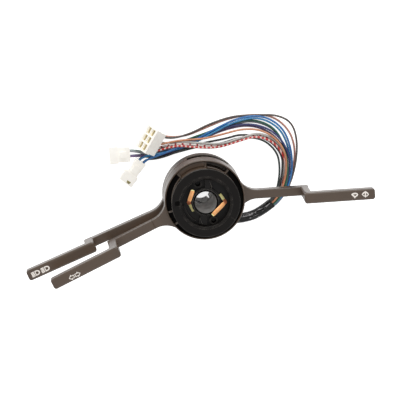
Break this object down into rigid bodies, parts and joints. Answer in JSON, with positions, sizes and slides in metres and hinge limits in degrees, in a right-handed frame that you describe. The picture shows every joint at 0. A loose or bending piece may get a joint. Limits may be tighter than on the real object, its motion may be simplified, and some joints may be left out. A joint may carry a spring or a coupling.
{
  "type": "combination stalk switch",
  "caption": "Steering column switch with indicator, headlight and wiper levers on a clamped drum, sprung horn contacts and a wired harness with plugs.",
  "frame": {"origin": "centre of the clamp bore at the back face of the clamp neck, which is also the floor it stands on", "axes": "+Z along the column axis towards the steering wheel, +X the way the single right-hand lever points, +Y away from the sleeve's outlet"},
  "size_m": [0.3308, 0.1488, 0.107],
  "materials": {
    "lever_plastic": "fine-grained moulding, warm dark brown",
    "black_housing": "plain black moulding",
    "black_disc": "smooth black moulding with a soft sheen",
    "cast_metal": "dull grey die casting",
    "steel": "zinc plated",
    "copper": "bare copper alloy",
    "bronze": "bare phosphor bronze strip",
    "terminal_brass": "tinned brass",
    "connector_nylon": "natural nylon, slightly milky",
    "grommet_rubber": "soft black rubber",
    "sleeve_vinyl": "wrinkled shiny black sleeve",
    "wire_dark_grey": "smooth wire insulation",
    "wire_pink": "smooth wire insulation",
    "wire_blue": "smooth wire insulation",
    "wire_light_blue": "smooth wire insulation",
    "wire_green": "smooth wire insulation",
    "wire_light_grey": "smooth wire insulation",
    "wire_navy": "smooth wire insulation",
    "wire_purple": "smooth wire insulation",
    "wire_orange": "smooth wire insulation",
    "wire_white": "smooth wire insulation",
    "wire_red": "smooth wire insulation",
    "wire_dark_red": "smooth wire insulation",
    "wire_black": "smooth wire insulation",
    "wire_dark_green": "smooth wire insulation"
  },
  "bodies": {
    "housing": {"column_tube": "cast_metal", "clamp_screw": "steel", "clamp_nut": "steel", "rear_cover": "black_housing", "cable_outlet": "black_housing", "rear_screws": "steel", "contact_base": "black_housing", "contact_tracks": "copper", "divider_plate": "black_housing", "core_housing": "black_housing", "assembly_screws": "steel", "front_cover": "black_disc", "indicator_tracks": "copper", "indicator_detent_ball": "steel", "indicator_detent_spring": "steel", "cable_grommet": "grommet_rubber", "harness_sleeve": "sleeve_vinyl", "connector_a": "connector_nylon", "terminals_a": "terminal_brass", "connector_b": "connector_nylon", "terminals_b": "terminal_brass", "connector_c": "connector_nylon", "terminals_c": "terminal_brass", "wire_dark_grey": "wire_dark_grey", "wire_pink": "wire_pink", "wire_blue": "wire_blue", "wire_light_blue": "wire_light_blue", "wire_green": "wire_green", "wire_light_grey": "wire_light_grey", "wire_navy": "wire_navy", "wire_purple": "wire_purple", "wire_orange": "wire_orange", "wire_white": "wire_white", "wire_red": "wire_red", "wire_dark_red": "wire_dark_red", "wire_black": "wire_black", "wire_dark_green": "wire_dark_green"},
    "indicator_lever": {"indicator_ring": "lever_plastic", "indicator_lever": "lever_plastic", "indicator_contact_bridge": "copper"},
    "headlight_carrier": {"headlight_carrier": "black_housing", "headlight_pivot_pin": "steel", "headlight_detent_ball": "steel", "headlight_detent_spring": "steel", "headlight_contact_bridge": "copper", "headlight_return_spring": "steel"},
    "headlight_lever": {"headlight_lever": "lever_plastic", "headlight_tongue": "black_housing"},
    "wiper_carrier": {"wiper_carrier": "black_housing", "wiper_pivot_pin": "steel", "wiper_detent_ball": "steel", "wiper_detent_spring": "steel", "wiper_contact_bridge": "copper", "wiper_return_spring": "steel"},
    "wiper_lever": {"wiper_lever": "lever_plastic", "wiper_tongue": "black_housing"},
    "cancel_yoke": {"cancel_yoke": "black_housing"},
    "horn_contact_left": {"horn_contact_left": "bronze"},
    "horn_contact_right": {"horn_contact_right": "bronze"}
  },
  "joints": [
    {"name": "indicator_turn", "type": "hinge", "parent": "housing", "child": "indicator_lever", "pos_m": [0, 0, 0.0575], "axis": [0, 0, 1], "range_deg": [-14, 14]},
    {"name": "headlight_turn", "type": "hinge", "parent": "housing", "child": "headlight_carrier", "pos_m": [0, 0, 0.0405], "axis": [0, 0, 1], "range_deg": [-12, 12]},
    {"name": "headlight_pull", "type": "hinge", "parent": "headlight_carrier", "child": "headlight_lever", "pos_m": [-0.01919, -0.00606, 0.0405], "axis": [-0.4035, 0.915, 0], "range_deg": [0, 4], "stiffness_Nm_per_rad": 1, "springref_deg": -8.59, "deforming": ["headlight_return_spring"]},
    {"name": "wiper_turn", "type": "hinge", "parent": "housing", "child": "wiper_carrier", "pos_m": [0, 0, 0.0405], "axis": [0, 0, 1], "range_deg": [0, 24]},
    {"name": "wiper_pull", "type": "hinge", "parent": "wiper_carrier", "child": "wiper_lever", "pos_m": [0.02008, -0.00088, 0.0405], "axis": [0.0558, -0.9984, 0], "range_deg": [0, 4], "stiffness_Nm_per_rad": 1, "springref_deg": -8.59, "deforming": ["wiper_return_spring"]},
    {"name": "cancel_yoke_turn", "type": "hinge", "parent": "housing", "child": "cancel_yoke", "pos_m": [0, 0, 0.0786], "axis": [0, 0, 1], "range_deg": [-6, 6]},
    {"name": "horn_press_left", "type": "hinge", "parent": "housing", "child": "horn_contact_left", "pos_m": [-0.0144, -0.0039, 0.0763], "axis": [-0.4626, 0.8866, 0], "range_deg": [0, 4], "stiffness_Nm_per_rad": 0.03, "springref_deg": -5.73},
    {"name": "horn_press_right", "type": "hinge", "parent": "housing", "child": "horn_contact_right", "pos_m": [0.01625, 0.0043, 0.0763], "axis": [0.578, -0.816, 0], "range_deg": [0, 4], "stiffness_Nm_per_rad": 0.03, "springref_deg": -5.73}
  ],
  "couplings": [
    {"joint": "cancel_yoke_turn", "follows": "indicator_turn", "ratio": 0.4}
  ]
}
